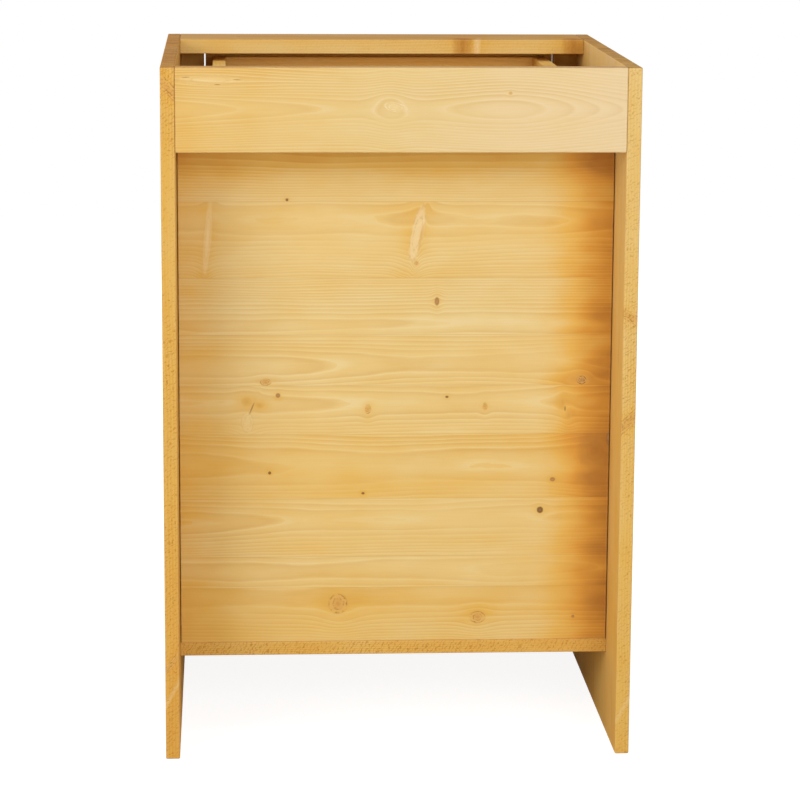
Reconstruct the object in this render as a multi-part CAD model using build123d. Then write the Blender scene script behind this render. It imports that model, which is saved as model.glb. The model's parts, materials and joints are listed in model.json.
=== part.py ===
from build123d import *
import os

# Kitchen base cabinet in solid pine, with one drawer over one door and a set-back solid back panel.
# Millimetres. X runs to the right seen from the front, Y to the back and Z up.
# The origin lies on the floor, below the middle of the width and of the depth with the knobs.

# Carcass boards
cabinet_width = 600.0
cabinet_height = 890.0
cabinet_depth = 580.0
side_thickness = 18.0
toe_height = 107.0
bottom_thickness = 18.0
installation_gap = 108.0
back_thickness = 18.0
back_side_gap = 1.0
back_top_drop = 24.0
rail_width = 106.0
rail_thickness = 20.0
stile_width = 33.0
stile_thickness = 20.0
plinth_thickness = 18.0
plinth_setback = 45.0
plinth_floor_gap = 2.0
edge_bevel = 1.0

# Holes in the front rail for the screws that hold a worktop
worktop_hole_radius = 2.5
worktop_hole_spacing = 400.0

# Dowels
dowel_radius = 4.0
dowel_in_side = 11.0
dowel_in_board = 24.0
dowel_margin = 25.0
dowel_clearance = 0.1
dowel_end_gap = 1.0
bottom_dowel_count = 3

# Shelf on four pins
shelf_thickness = 18.0
shelf_rise = 270.0
shelf_side_gap = 1.0
shelf_front_gap = 12.0
shelf_back_gap = 4.0
shelf_pin_radius = 2.5
shelf_pin_depth = 9.0
shelf_pin_end_gap = 1.0
shelf_pin_reach = 12.0
shelf_pin_inset = 60.0
shelf_hole_pitch = 32.0
shelf_hole_steps = (-1, 0, 1)

# Drawer
drawer_opening_height = 145.0
reveal = 2.0
drawer_face_thickness = 18.0
drawer_board_thickness = 18.0
drawer_top_gap = 10.0
drawer_low_gap = 25.0
drawer_rear_clearance = 36.0
drawer_bottom_thickness = 5.0
drawer_bottom_rise = 12.0
drawer_groove_depth = 7.0
drawer_groove_clearance = 0.2
face_screw_margin_x = 90.0
face_screw_margin_z = 30.0

# Roller runners of folded steel
runner_space = 12.5
runner_steel = 1.2
runner_bend = 0.8
runner_side_gap = 0.8
runner_lower_flange = 14.0
runner_flange_gap = 1.3
runner_screw_margin = 40.0
runner_screw_count = 3
channel_height = 20.0
channel_lift = 2.8
batten_below_channel = 6.0
batten_height = 48.0
roller_inset = 12.0
roller_play = 0.4
roller_gap = 0.3
roller_side_gap = 0.5
roller_edge = 0.8
roller_bore_clearance = 0.06
rivet_radius = 2.5
rivet_head_radius = 4.0
rivet_head_height = 0.8
rivet_hole_clearance = 0.02

# Door frame and fielded panel
door_thickness = 20.0
door_frame_width = 70.0
door_groove_width = 6.0
door_groove_depth = 10.0
door_joint_clearance = 0.2
door_panel_gap = 2.0
door_bevel_width = 32.0
door_bevel_margin = 3.0
door_bevel_rim = 0.5
door_field_setback = 2.0

# Butt hinges in the gap between the left stile and the door
hinge_height = 60.0
hinge_leaf_depth = 17.0
hinge_leaf_gap = 0.3
hinge_end_distance = 95.0
hinge_knuckle_count = 3
hinge_knuckle_gap = 0.3
hinge_knuckle_radius = 3.2
hinge_face_gap = 0.3
hinge_pin_radius = 1.5
hinge_pin_fit = 0.02
hinge_pin_play = 0.06
hinge_pin_head_radius = 2.8
hinge_pin_head_height = 1.6
hinge_screw_count = 3
hinge_screw_margin = 10.0

# Magnetic catch under the middle rail
catch_width = 44.0
catch_depth = 20.0
catch_height = 14.0
catch_side_distance = 120.0
catch_gap = 0.4
catch_screw_margin = 5.5
magnet_width = 22.0
magnet_depth = 10.0
magnet_height = 8.0
magnet_fit = 0.1
strike_width = 36.0
strike_height = 9.0
strike_thickness = 1.2
strike_drop = 4.0
strike_screw_margin = 6.0

# Turned knobs
knob_radius = 17.5
knob_projection = 28.0
knob_base_radius = 10.0
knob_neck_radius = 8.0
knob_neck_height = 5.0
knob_rim_low = 20.0
knob_rim_top = 25.0
knob_front_radius = 14.0
door_knob_drop = 130.0

# Screws; they, the dowels and the shelf pins have few sides, because they repeat often
fastener_side_count = 12
screw_radius = 1.75
screw_head_radius = 3.4
screw_head_rim = 0.3
screw_clearance = 0.1
batten_screw_length = 44.0
short_screw_length = 15.0
drawer_screw_length = 10.0
face_screw_length = 30.0
knob_screw_radius = 2.0
knob_screw_grip = 15.0
knob_screw_head_radius = 4.0
knob_screw_head_height = 2.6

# Levels and planes that several pieces share
inner_half = cabinet_width / 2 - side_thickness
opening_half = inner_half - stile_width
rear_y = (cabinet_depth + knob_projection) / 2
front_y = rear_y - cabinet_depth
frame_back_y = front_y + stile_thickness
back_rear_y = rear_y - installation_gap
back_front_y = back_rear_y - back_thickness
bottom_top = toe_height + bottom_thickness
rail_low = cabinet_height - rail_thickness
opening_low = rail_low - drawer_opening_height
middle_low = opening_low - rail_thickness
shelf_low = bottom_top + shelf_rise
shelf_pin_z = shelf_low - shelf_pin_radius
shelf_front_y = frame_back_y + shelf_front_gap
shelf_rear_y = back_front_y - shelf_back_gap
shelf_pin_ys = (shelf_front_y + shelf_pin_inset, shelf_rear_y - shelf_pin_inset)
box_half = opening_half - runner_space
box_inner_half = box_half - drawer_board_thickness
box_low = opening_low + drawer_low_gap
box_top = rail_low - drawer_top_gap
box_front_y = front_y + drawer_face_thickness
box_rear_y = back_front_y - drawer_rear_clearance
box_bottom_low = box_low + drawer_bottom_rise
box_back_low = box_bottom_low + drawer_bottom_thickness + drawer_groove_clearance
channel_low = box_low + channel_lift
channel_top = channel_low + channel_height
batten_low = channel_low - batten_below_channel
door_half = opening_half - reveal
door_low = bottom_top + reveal
door_top = middle_low - reveal
door_back_y = front_y + door_thickness
hinge_x = -(opening_half - reveal / 2)
hinge_y = front_y - hinge_face_gap - hinge_knuckle_radius
hinge_levels = {"lower": door_low + hinge_end_distance, "upper": door_top - hinge_end_distance}
hinge_leaf_thickness = (reveal - hinge_leaf_gap) / 2


def block(x_range, y_range, z_range, bevelled=()):
    """A box between three pairs of coordinates, with the edges along the named axes bevelled."""
    size = [high - low for low, high in (x_range, y_range, z_range)]
    middle = [(high + low) / 2 for low, high in (x_range, y_range, z_range)]
    body = Pos(*middle) * Box(*size)
    edges = [edge for axis in bevelled for edge in body.edges().filter_by(axis)]
    return chamfer(edges, edge_bevel) if edges else body


def spread(start, end, count, margin):
    """Evenly spaced places between two ends, the outer ones a margin away from the ends."""
    step = (end - start - 2 * margin) / (count - 1)
    return [start + margin + step * place for place in range(count)]


def pair(start, end, margin):
    """Two places between two ends, each a margin away from its end."""
    return (start + margin, end - margin)


def bar(axis, start, end, center, section):
    """A section about center, drawn out along X, Y or Z from start to end."""
    turn = {"x": (0, 90, 0), "y": (-90, 0, 0), "z": (0, 0, 0)}[axis]
    middle = list(center)
    middle["xyz".index(axis)] = (start + end) / 2
    return Pos(*middle) * Rot(*turn) * extrude(section, abs(end - start) / 2, both=True)


def round_bar(axis, start, end, center, radius):
    """A round bar, or what cuts a round hole."""
    return bar(axis, start, end, center, Circle(radius))


def fastener_bar(axis, start, end, center, radius):
    """A bar with the few sides of a fastener, or what cuts its hole."""
    return bar(axis, start, end, center, RegularPolygon(radius, fastener_side_count))


def mirrored(body):
    """The same piece on the left."""
    return mirror(body, about=Plane.YZ)


def both_sides(bodies):
    """The pieces on the right and their mirror images on the left."""
    return list(bodies) + [mirrored(body) for body in bodies]


def turned(outline):
    """A solid of revolution about Z, from a closed outline drawn in radius and height."""
    return Rot(90, 0, 0) * revolve(make_face(outline), axis=Axis.Y)


def screws_at(places, outward, length, grow=0.0):
    """Countersunk screws with their heads at the places, facing outward; grow widens them."""
    shank = RegularPolygon(screw_radius + grow, fastener_side_count)
    taper_height = screw_head_radius - screw_radius
    head = extrude(
        RegularPolygon(screw_head_radius + grow, fastener_side_count), -screw_head_rim - taper_height
    )
    head = chamfer(head.faces().sort_by(Axis.Z)[0].edges(), taper_height)
    screw = head + extrude(shank, -length - grow)
    return [Plane(origin=place, z_dir=outward) * screw for place in places]


def screw_holes_at(places, outward, length):
    """The holes that take screws_at of the same places."""
    return screws_at(places, outward, length, screw_clearance)


class DowelJoint:
    """Dowels along X between a board and an upright on the right; the left has the mirror image."""

    def __init__(self, plane_x, board_x, places):
        self.plane_x = plane_x
        self.board_x = board_x
        self.places = places

    def bars(self, radius, end_gap):
        """Bars from inside the board to inside the upright."""
        start = self.board_x - dowel_in_board - end_gap
        end = self.plane_x + dowel_in_side + end_gap
        return [fastener_bar("x", start, end, (0, y, z), radius) for y, z in self.places]

    def dowels(self):
        return both_sides(self.bars(dowel_radius, 0))

    def holes(self):
        return self.bars(dowel_radius + dowel_clearance, dowel_end_gap)


# Joints of the carcass: the places are pairs of Y and Z
front_rail_ys = pair(front_y, front_y + rail_width, dowel_margin)
middle_rail_ys = pair(frame_back_y, front_y + rail_width, dowel_margin)
rear_rail_zs = pair(cabinet_height - rail_width, cabinet_height, dowel_margin)
bottom_ys = spread(front_y, back_rear_y, bottom_dowel_count, dowel_margin)
back_top = cabinet_height - back_top_drop
back_zs = pair(bottom_top, back_top, dowel_margin)
plinth_zs = pair(plinth_floor_gap, toe_height, dowel_margin)
plinth_y = front_y + plinth_setback

front_rail_joint = DowelJoint(
    inner_half, inner_half, [(y, cabinet_height - rail_thickness / 2) for y in front_rail_ys]
)
middle_rail_joint = DowelJoint(
    inner_half, inner_half, [(y, middle_low + rail_thickness / 2) for y in middle_rail_ys]
)
rear_rail_joint = DowelJoint(
    inner_half, inner_half, [(rear_y - rail_thickness / 2, z) for z in rear_rail_zs]
)
bottom_joint = DowelJoint(
    inner_half, inner_half, [(y, toe_height + bottom_thickness / 2) for y in bottom_ys]
)
back_joint = DowelJoint(
    inner_half, inner_half - back_side_gap, [(back_rear_y - back_thickness / 2, z) for z in back_zs]
)
plinth_joint = DowelJoint(
    inner_half, inner_half, [(plinth_y + plinth_thickness / 2, z) for z in plinth_zs]
)
carcass_joints = (
    front_rail_joint,
    middle_rail_joint,
    rear_rail_joint,
    bottom_joint,
    back_joint,
    plinth_joint,
)

# Joints of the drawer box
box_front_zs = pair(box_low, box_top, dowel_margin)
box_back_zs = pair(box_back_low, box_top, dowel_margin)
box_front_joint = DowelJoint(
    box_inner_half, box_inner_half, [(box_front_y + drawer_board_thickness / 2, z) for z in box_front_zs]
)
box_back_joint = DowelJoint(
    box_inner_half, box_inner_half, [(box_rear_y - drawer_board_thickness / 2, z) for z in box_back_zs]
)

# Screw places on the right side and on the hinges
batten_screw_z = (channel_top + batten_low + batten_height) / 2
batten_screw_places = [
    (opening_half, y, batten_screw_z)
    for y in spread(frame_back_y, back_front_y, runner_screw_count, runner_screw_margin)
]
channel_screw_places = [
    (opening_half - runner_steel, y, (channel_low + channel_top) / 2)
    for y in spread(frame_back_y, box_rear_y, runner_screw_count, runner_screw_margin)
]
drawer_screw_places = [
    (box_half - runner_lower_flange / 2, y, box_low - runner_steel)
    for y in spread(box_front_y, box_rear_y, runner_screw_count, runner_screw_margin)
]
hinge_screw_levels = [
    level + offset
    for level in hinge_levels.values()
    for offset in spread(-hinge_height / 2, hinge_height / 2, hinge_screw_count, hinge_screw_margin)
]
hinge_screw_y = front_y + hinge_leaf_depth / 2
frame_leaf_screw_places = [
    (-opening_half + hinge_leaf_thickness, hinge_screw_y, z) for z in hinge_screw_levels
]
door_leaf_screw_places = [
    (-door_half - hinge_leaf_thickness, hinge_screw_y, z) for z in hinge_screw_levels
]
face_screw_places = [
    (x, box_front_y + drawer_board_thickness, z)
    for x in pair(-box_inner_half, box_inner_half, face_screw_margin_x)
    for z in pair(box_low, box_top, face_screw_margin_z)
]
catch_x = opening_half - catch_side_distance
catch_front_y = door_back_y + strike_thickness + catch_gap
catch_screw_places = [
    (x, catch_front_y + catch_depth / 2, middle_low - catch_height)
    for x in pair(catch_x - catch_width / 2, catch_x + catch_width / 2, catch_screw_margin)
]
strike_z = door_top - strike_drop - strike_height / 2
strike_screw_places = [
    (x, door_back_y + strike_thickness, strike_z)
    for x in pair(catch_x - strike_width / 2, catch_x + strike_width / 2, strike_screw_margin)
]
drawer_knob_place = (0, front_y, (opening_low + rail_low) / 2)
door_knob_place = (door_half - door_frame_width / 2, front_y, door_top - door_knob_drop)


def side_panel():
    """Right side panel, down to the floor, with dowel, shelf pin and batten screw holes."""
    board = block(
        (inner_half, cabinet_width / 2),
        (front_y, rear_y),
        (0, cabinet_height),
        (Axis.X, Axis.Y, Axis.Z),
    )
    dowel_holes = [hole for joint in carcass_joints for hole in joint.holes()]
    pin_hole_end = inner_half + shelf_pin_depth + shelf_pin_end_gap
    pin_hole_radius = shelf_pin_radius + dowel_clearance
    pin_hole_zs = [shelf_pin_z + step * shelf_hole_pitch for step in shelf_hole_steps]
    pin_holes = [
        fastener_bar("x", inner_half, pin_hole_end, (0, y, z), pin_hole_radius)
        for y in shelf_pin_ys
        for z in pin_hole_zs
    ]
    return board - dowel_holes - pin_holes - screw_holes_at(
        batten_screw_places, (-1, 0, 0), batten_screw_length
    )


def board_between_sides(half, y_range, z_range, joint):
    """A board across the cabinet with its long edges bevelled and dowel holes in both ends."""
    board = block((-half, half), y_range, z_range, (Axis.X,))
    return board - both_sides(joint.holes())


def front_top_rail():
    """Flat rail at the top of the front, with two holes for the worktop screws."""
    rail = board_between_sides(
        inner_half, (front_y, front_y + rail_width), (rail_low, cabinet_height), front_rail_joint
    )
    hole = round_bar(
        "z",
        rail_low,
        cabinet_height,
        (worktop_hole_spacing / 2, front_y + rail_width / 2, 0),
        worktop_hole_radius,
    )
    return rail - both_sides([hole])


def middle_rail():
    """Flat rail between drawer and door, notched round the stiles."""
    rail = board_between_sides(
        inner_half, (front_y, front_y + rail_width), (middle_low, opening_low), middle_rail_joint
    )
    notch = block((opening_half, inner_half), (front_y, frame_back_y), (middle_low, opening_low))
    return rail - both_sides([notch]) - screw_holes_at(
        catch_screw_places, (0, 0, -1), catch_height + short_screw_length
    )


def stile():
    """Right front stile between the bottom panel and the front top rail."""
    return block(
        (opening_half, inner_half), (front_y, frame_back_y), (bottom_top, rail_low), (Axis.Z,)
    )


def left_stile():
    """Left front stile, with the screw holes of the frame leaves."""
    return mirrored(stile()) - screw_holes_at(frame_leaf_screw_places, (1, 0, 0), short_screw_length)


def shelf():
    half = inner_half - shelf_side_gap
    return block(
        (-half, half),
        (shelf_front_y, shelf_rear_y),
        (shelf_low, shelf_low + shelf_thickness),
        (Axis.X, Axis.Y, Axis.Z),
    )


def shelf_pins():
    """Four pins, half in the side panels and half under the shelf."""
    start = inner_half - shelf_pin_reach
    end = inner_half + shelf_pin_depth
    return both_sides(
        [fastener_bar("x", start, end, (0, y, shelf_pin_z), shelf_pin_radius) for y in shelf_pin_ys]
    )


def batten():
    """Right batten that brings the runner out to the opening."""
    bar = block(
        (opening_half, inner_half),
        (frame_back_y, back_front_y),
        (batten_low, batten_low + batten_height),
        (Axis.Y,),
    )
    return bar - screw_holes_at(batten_screw_places, (-1, 0, 0), batten_screw_length) - screw_holes_at(
        channel_screw_places, (-1, 0, 0), short_screw_length
    )


# Runner section on the right, worked out from the channel outwards
flange_tip_x = box_half + runner_steel + runner_side_gap
hook_tip_x = opening_half - runner_steel - runner_flange_gap
hook_top = channel_top - runner_steel - 2 * roller_play
hook_low = hook_top - runner_steel
drawer_roller_radius = channel_height / 2 - runner_steel - roller_play
drawer_roller_y = box_rear_y - roller_inset
drawer_roller_z = (channel_low + channel_top) / 2
cabinet_roller_low = channel_low + runner_steel + roller_gap
cabinet_roller_radius = (hook_low - roller_gap - cabinet_roller_low) / 2
cabinet_roller_y = frame_back_y + roller_inset
cabinet_roller_z = cabinet_roller_low + cabinet_roller_radius
rivet_space = rivet_head_height + roller_side_gap


def folded_section(points, bends, y_start, y_end):
    """A folded steel strip: its outline in X and Z, rounded at the bends, drawn out along Y."""
    outline = make_face(Polyline(*[(x, -z) for x, z in points], close=True))
    corners = [outline.vertices().sort_by_distance((x, -z, 0))[0] for x, z in bends]
    section = fillet(corners, runner_bend)
    start_plane = Plane(origin=(0, y_start, 0), x_dir=(1, 0, 0), z_dir=(0, 1, 0))
    return extrude(start_plane * section, y_end - y_start)


def cabinet_runner():
    """Right cabinet channel, open towards the drawer."""
    web_x = opening_half - runner_steel
    channel = folded_section(
        [
            (opening_half, channel_low),
            (opening_half, channel_top),
            (flange_tip_x, channel_top),
            (flange_tip_x, channel_top - runner_steel),
            (web_x, channel_top - runner_steel),
            (web_x, channel_low + runner_steel),
            (flange_tip_x, channel_low + runner_steel),
            (flange_tip_x, channel_low),
        ],
        [(opening_half, channel_low), (opening_half, channel_top)],
        frame_back_y,
        box_rear_y,
    )
    rivet_hole = round_bar(
        "x",
        web_x,
        opening_half,
        (0, cabinet_roller_y, cabinet_roller_z),
        rivet_radius + rivet_hole_clearance,
    )
    return channel - rivet_hole - screw_holes_at(channel_screw_places, (-1, 0, 0), short_screw_length)


def drawer_runner():
    """Right drawer profile: a flange under the drawer side, a web beside it and a hook on top."""
    web_x = box_half + runner_steel
    foot_x = box_half - runner_lower_flange
    foot_low = box_low - runner_steel
    profile = folded_section(
        [
            (foot_x, foot_low),
            (web_x, foot_low),
            (web_x, hook_low),
            (hook_tip_x, hook_low),
            (hook_tip_x, hook_top),
            (box_half, hook_top),
            (box_half, box_low),
            (foot_x, box_low),
        ],
        [(web_x, foot_low), (box_half, hook_top)],
        box_front_y,
        box_rear_y,
    )
    roller_room = block(
        (web_x, opening_half),
        (drawer_roller_y - drawer_roller_radius - roller_gap, box_rear_y),
        (hook_low, channel_top),
    )
    rivet_hole = round_bar(
        "x", box_half, web_x, (0, drawer_roller_y, drawer_roller_z), rivet_radius + rivet_hole_clearance
    )
    return profile - roller_room - rivet_hole - screw_holes_at(
        drawer_screw_places, (0, 0, -1), drawer_screw_length
    )


def roller(radius, x_start, x_end, y, z):
    """A nylon roller on an axis along X, with eased rims and a bore for its rivet."""
    width = x_end - x_start
    bore_radius = rivet_radius + roller_bore_clearance
    outline = Polyline(
        (bore_radius, 0),
        (radius - roller_edge, 0),
        (radius, roller_edge),
        (radius, width - roller_edge),
        (radius - roller_edge, width),
        (bore_radius, width),
        close=True,
    )
    return Plane(origin=(x_start, y, z), z_dir=(1, 0, 0)) * turned(outline)


def cabinet_roller():
    """Right roller at the front of the cabinet channel."""
    return roller(
        cabinet_roller_radius,
        flange_tip_x + rivet_space,
        opening_half - runner_steel - roller_side_gap,
        cabinet_roller_y,
        cabinet_roller_z,
    )


def drawer_roller():
    """Right roller at the rear end of the drawer profile."""
    return roller(
        drawer_roller_radius,
        box_half + runner_steel + roller_side_gap,
        opening_half - runner_steel - rivet_space - roller_side_gap,
        drawer_roller_y,
        drawer_roller_z,
    )


def rivet(fixed_x, head_x, y, z):
    """A rivet along X, flush at its fixed end, with a flat head in front of its roller."""
    towards = 1 if head_x > fixed_x else -1
    center = (0, y, z)
    shank = round_bar("x", fixed_x, head_x, center, rivet_radius)
    return shank + round_bar("x", head_x, head_x + towards * rivet_head_height, center, rivet_head_radius)


def cabinet_rivet():
    return rivet(
        opening_half, flange_tip_x + rivet_space - roller_side_gap, cabinet_roller_y, cabinet_roller_z
    )


def drawer_rivet():
    return rivet(
        box_half, opening_half - runner_steel - rivet_space, drawer_roller_y, drawer_roller_z
    )


def knob(place):
    """Turned knob: a foot that flares out to the rim, an eased front and a blind bore for its screw."""
    bore_radius = knob_screw_radius + screw_clearance
    bore_depth = knob_screw_grip + dowel_end_gap
    outline = Polyline(
        (bore_radius, 0),
        (knob_base_radius, 0),
        (knob_neck_radius, knob_neck_height),
        (knob_radius, knob_rim_low),
        (knob_radius, knob_rim_top),
        (knob_front_radius, knob_projection),
        (0, knob_projection),
        (0, bore_depth),
        (bore_radius, bore_depth),
        close=True,
    )
    return Plane(origin=place, z_dir=(0, -1, 0)) * turned(outline)


def knob_screw(place, back_y):
    """Machine screw through the wood into the knob, with a round head at the back."""
    x, y, z = place
    center = (x, 0, z)
    shank = fastener_bar("y", y - knob_screw_grip, back_y, center, knob_screw_radius)
    head = round_bar("y", back_y, back_y + knob_screw_head_height, center, knob_screw_head_radius)
    return shank + head


def knob_hole(place, back_y):
    x, y, z = place
    return fastener_bar("y", y, back_y, (x, 0, z), knob_screw_radius + screw_clearance)


box_inner_front_y = box_front_y + drawer_board_thickness
groove_low = box_bottom_low - drawer_groove_clearance
groove_high = box_bottom_low + drawer_bottom_thickness + drawer_groove_clearance


def drawer_face():
    """Inset drawer face, flush with the front frame."""
    face = block(
        (-door_half, door_half),
        (front_y, box_front_y),
        (opening_low + reveal, rail_low - reveal),
        (Axis.X, Axis.Y, Axis.Z),
    )
    return face - knob_hole(drawer_knob_place, box_front_y) - screw_holes_at(
        face_screw_places, (0, 1, 0), face_screw_length
    )


def drawer_box_front():
    front = block(
        (-box_inner_half, box_inner_half), (box_front_y, box_inner_front_y), (box_low, box_top), (Axis.X,)
    )
    groove = block(
        (-box_inner_half, box_inner_half),
        (box_inner_front_y - drawer_groove_depth, box_inner_front_y),
        (groove_low, groove_high),
    )
    front = front - groove - both_sides(box_front_joint.holes())
    return front - knob_hole(drawer_knob_place, box_inner_front_y) - screw_holes_at(
        face_screw_places, (0, 1, 0), face_screw_length
    )


def drawer_side():
    """Right drawer side, grooved for the bottom."""
    side = block(
        (box_inner_half, box_half), (box_front_y, box_rear_y), (box_low, box_top), (Axis.Y,)
    )
    groove = block(
        (box_inner_half, box_inner_half + drawer_groove_depth),
        (box_front_y, box_rear_y),
        (groove_low, groove_high),
    )
    side = side - groove - box_front_joint.holes() - box_back_joint.holes()
    return side - screw_holes_at(drawer_screw_places, (0, 0, -1), drawer_screw_length)


def drawer_back():
    back = block(
        (-box_inner_half, box_inner_half),
        (box_rear_y - drawer_board_thickness, box_rear_y),
        (box_back_low, box_top),
        (Axis.X,),
    )
    return back - both_sides(box_back_joint.holes())


def drawer_bottom():
    """Thin board in the grooves of the sides and the front, under the back."""
    half = box_inner_half + drawer_groove_depth - drawer_groove_clearance
    return block(
        (-half, half),
        (box_inner_front_y - drawer_groove_depth + drawer_groove_clearance, box_rear_y),
        (box_bottom_low, box_bottom_low + drawer_bottom_thickness),
    )


groove_y = (
    front_y + (door_thickness - door_groove_width) / 2,
    front_y + (door_thickness + door_groove_width) / 2,
)
tongue_y = (groove_y[0] + door_joint_clearance, groove_y[1] - door_joint_clearance)
door_inner_half = door_half - door_frame_width
door_inner_low = door_low + door_frame_width
door_inner_top = door_top - door_frame_width


def door_stile():
    """Right stile of the door, grooved along its inner edge."""
    bar = block(
        (door_inner_half, door_half), (front_y, door_back_y), (door_low, door_top), (Axis.X, Axis.Y, Axis.Z)
    )
    groove = block(
        (door_inner_half, door_inner_half + door_groove_depth), groove_y, (door_low, door_top)
    )
    return bar - groove


def door_right_stile():
    return door_stile() - knob_hole(door_knob_place, door_back_y)


def door_left_stile():
    return mirrored(door_stile()) - screw_holes_at(door_leaf_screw_places, (-1, 0, 0), short_screw_length)


def door_rail(z_range, groove_range):
    """A rail of the door with a stub tenon at each end and a groove for the panel."""
    bar = block((-door_inner_half, door_inner_half), (front_y, door_back_y), z_range, (Axis.X,))
    tenon_half = door_inner_half + door_groove_depth - door_joint_clearance
    tenon = block((-tenon_half, tenon_half), tongue_y, z_range)
    return bar + tenon - block((-tenon_half, tenon_half), groove_y, groove_range)


def door_top_rail():
    rail = door_rail((door_inner_top, door_top), (door_inner_top, door_inner_top + door_groove_depth))
    return rail - screw_holes_at(strike_screw_places, (0, 1, 0), short_screw_length)


def door_bottom_rail():
    return door_rail((door_low, door_inner_low), (door_inner_low - door_groove_depth, door_inner_low))


def door_panel():
    """Fielded panel: a tongue all round, and a field raised towards the front by a wide bevel."""
    reach = door_groove_depth - door_panel_gap
    board = block(
        (-door_inner_half - reach, door_inner_half + reach),
        tongue_y,
        (door_inner_low - reach, door_inner_top + reach),
    )
    field = block(
        (-door_inner_half + door_bevel_margin, door_inner_half - door_bevel_margin),
        (front_y + door_field_setback, tongue_y[0]),
        (door_inner_low + door_bevel_margin, door_inner_top - door_bevel_margin),
    )
    front = field.faces().sort_by(Axis.Y)[0]
    bevel_height = tongue_y[0] - front_y - door_field_setback - door_bevel_rim
    return board + chamfer(front.edges(), door_bevel_width, bevel_height, reference=front)


knuckle_step = hinge_height / hinge_knuckle_count


def hinge_leaf(level, plate_x, own_knuckles, bore_radius):
    """A leaf in the gap with its rolled knuckles about the hinge axis."""
    low = level - hinge_height / 2
    leaf = block(plate_x, (front_y, front_y + hinge_leaf_depth), (low, low + hinge_height))
    for place in own_knuckles:
        z_start = low + place * knuckle_step + hinge_knuckle_gap / 2
        z_end = z_start + knuckle_step - hinge_knuckle_gap
        leaf += block(plate_x, (hinge_y, front_y), (z_start, z_end))
        leaf += round_bar("z", z_start, z_end, (hinge_x, hinge_y, 0), hinge_knuckle_radius)
    return leaf - round_bar("z", low, low + hinge_height, (hinge_x, hinge_y, 0), bore_radius)


def frame_leaf(level):
    leaf = hinge_leaf(
        level,
        (-opening_half, -opening_half + hinge_leaf_thickness),
        range(0, hinge_knuckle_count, 2),
        hinge_pin_radius + hinge_pin_fit,
    )
    return leaf - screw_holes_at(frame_leaf_screw_places, (1, 0, 0), short_screw_length)


def door_leaf(level):
    leaf = hinge_leaf(
        level,
        (-door_half - hinge_leaf_thickness, -door_half),
        range(1, hinge_knuckle_count, 2),
        hinge_pin_radius + hinge_pin_play,
    )
    return leaf - screw_holes_at(door_leaf_screw_places, (-1, 0, 0), short_screw_length)


def hinge_pin(level):
    """Pin through the knuckles, with a round head on top."""
    low = level - hinge_height / 2
    top = low + hinge_height
    center = (hinge_x, hinge_y, 0)
    shank = round_bar("z", low, top, center, hinge_pin_radius)
    head = round_bar("z", top, top + hinge_pin_head_height, center, hinge_pin_head_radius)
    return shank + head


magnet_x = (catch_x - magnet_width / 2, catch_x + magnet_width / 2)
magnet_y = (catch_front_y, catch_front_y + magnet_depth)
magnet_z = (strike_z - magnet_height / 2, strike_z + magnet_height / 2)


def catch_housing():
    """Housing under the middle rail with a pocket for the magnet, open towards the door."""
    body = block(
        (catch_x - catch_width / 2, catch_x + catch_width / 2),
        (catch_front_y, catch_front_y + catch_depth),
        (middle_low - catch_height, middle_low),
        (Axis.Z,),
    )
    pocket = block(
        (magnet_x[0] - magnet_fit, magnet_x[1] + magnet_fit),
        (magnet_y[0], magnet_y[1] + magnet_fit),
        (magnet_z[0] - magnet_fit, magnet_z[1] + magnet_fit),
    )
    return body - pocket - screw_holes_at(catch_screw_places, (0, 0, -1), catch_height + short_screw_length)


def strike_plate():
    """Steel plate on the back of the door, opposite the magnet."""
    plate = block(
        (catch_x - strike_width / 2, catch_x + strike_width / 2),
        (door_back_y, door_back_y + strike_thickness),
        (strike_z - strike_height / 2, strike_z + strike_height / 2),
    )
    return plate - screw_holes_at(strike_screw_places, (0, 1, 0), short_screw_length)


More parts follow.
